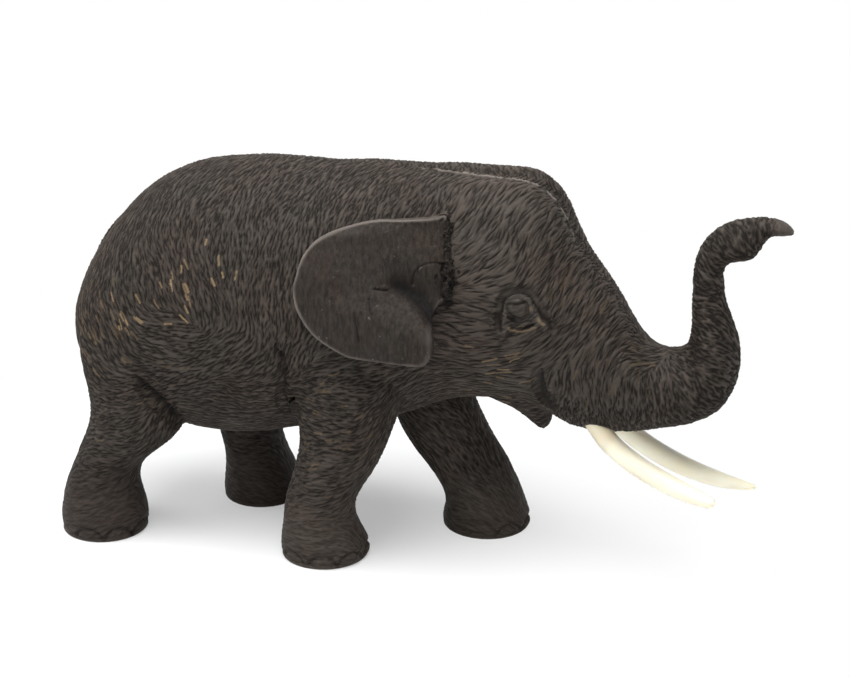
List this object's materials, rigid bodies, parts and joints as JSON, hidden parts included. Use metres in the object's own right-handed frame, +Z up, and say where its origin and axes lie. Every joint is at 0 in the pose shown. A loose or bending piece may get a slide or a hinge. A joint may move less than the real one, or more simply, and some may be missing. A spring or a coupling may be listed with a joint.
{
  "type": "carved wooden elephant figurine",
  "caption": "Free-standing carved dark wood elephant in mid-stride, trunk raised, with glued-in ears and pale tusks that slide out of their sockets.",
  "frame": {"origin": "on the ground, under the middle of the figure's bounding box", "axes": "+X towards the raised trunk, +Y to the elephant's left, +Z up"},
  "size_m": [0.2211, 0.0776, 0.1196],
  "materials": {
    "carved_wood": "dark stained, gouge textured, satin wax",
    "ear_wood": "dark stained, smooth, satin wax",
    "filler": "dark glue and sawdust filler, matt",
    "tusk": "cream, smooth, soft sheen"
  },
  "bodies": {
    "elephant": {"carved_body": "carved_wood", "right_ear": "ear_wood", "left_ear": "ear_wood", "right_ear_filler": "filler", "left_ear_filler": "filler"},
    "right_tusk_peg": {"right_tusk": "tusk"},
    "left_tusk_peg": {"left_tusk": "tusk"}
  },
  "joints": [
    {"name": "right_tusk_slide", "type": "slide", "parent": "elephant", "child": "right_tusk_peg", "axis": [0.5944, -0.0941, -0.7986], "range_m": [0, 0.009]},
    {"name": "left_tusk_slide", "type": "slide", "parent": "elephant", "child": "left_tusk_peg", "axis": [0.7164, 0.1135, -0.6884], "range_m": [0, 0.009]}
  ]
}
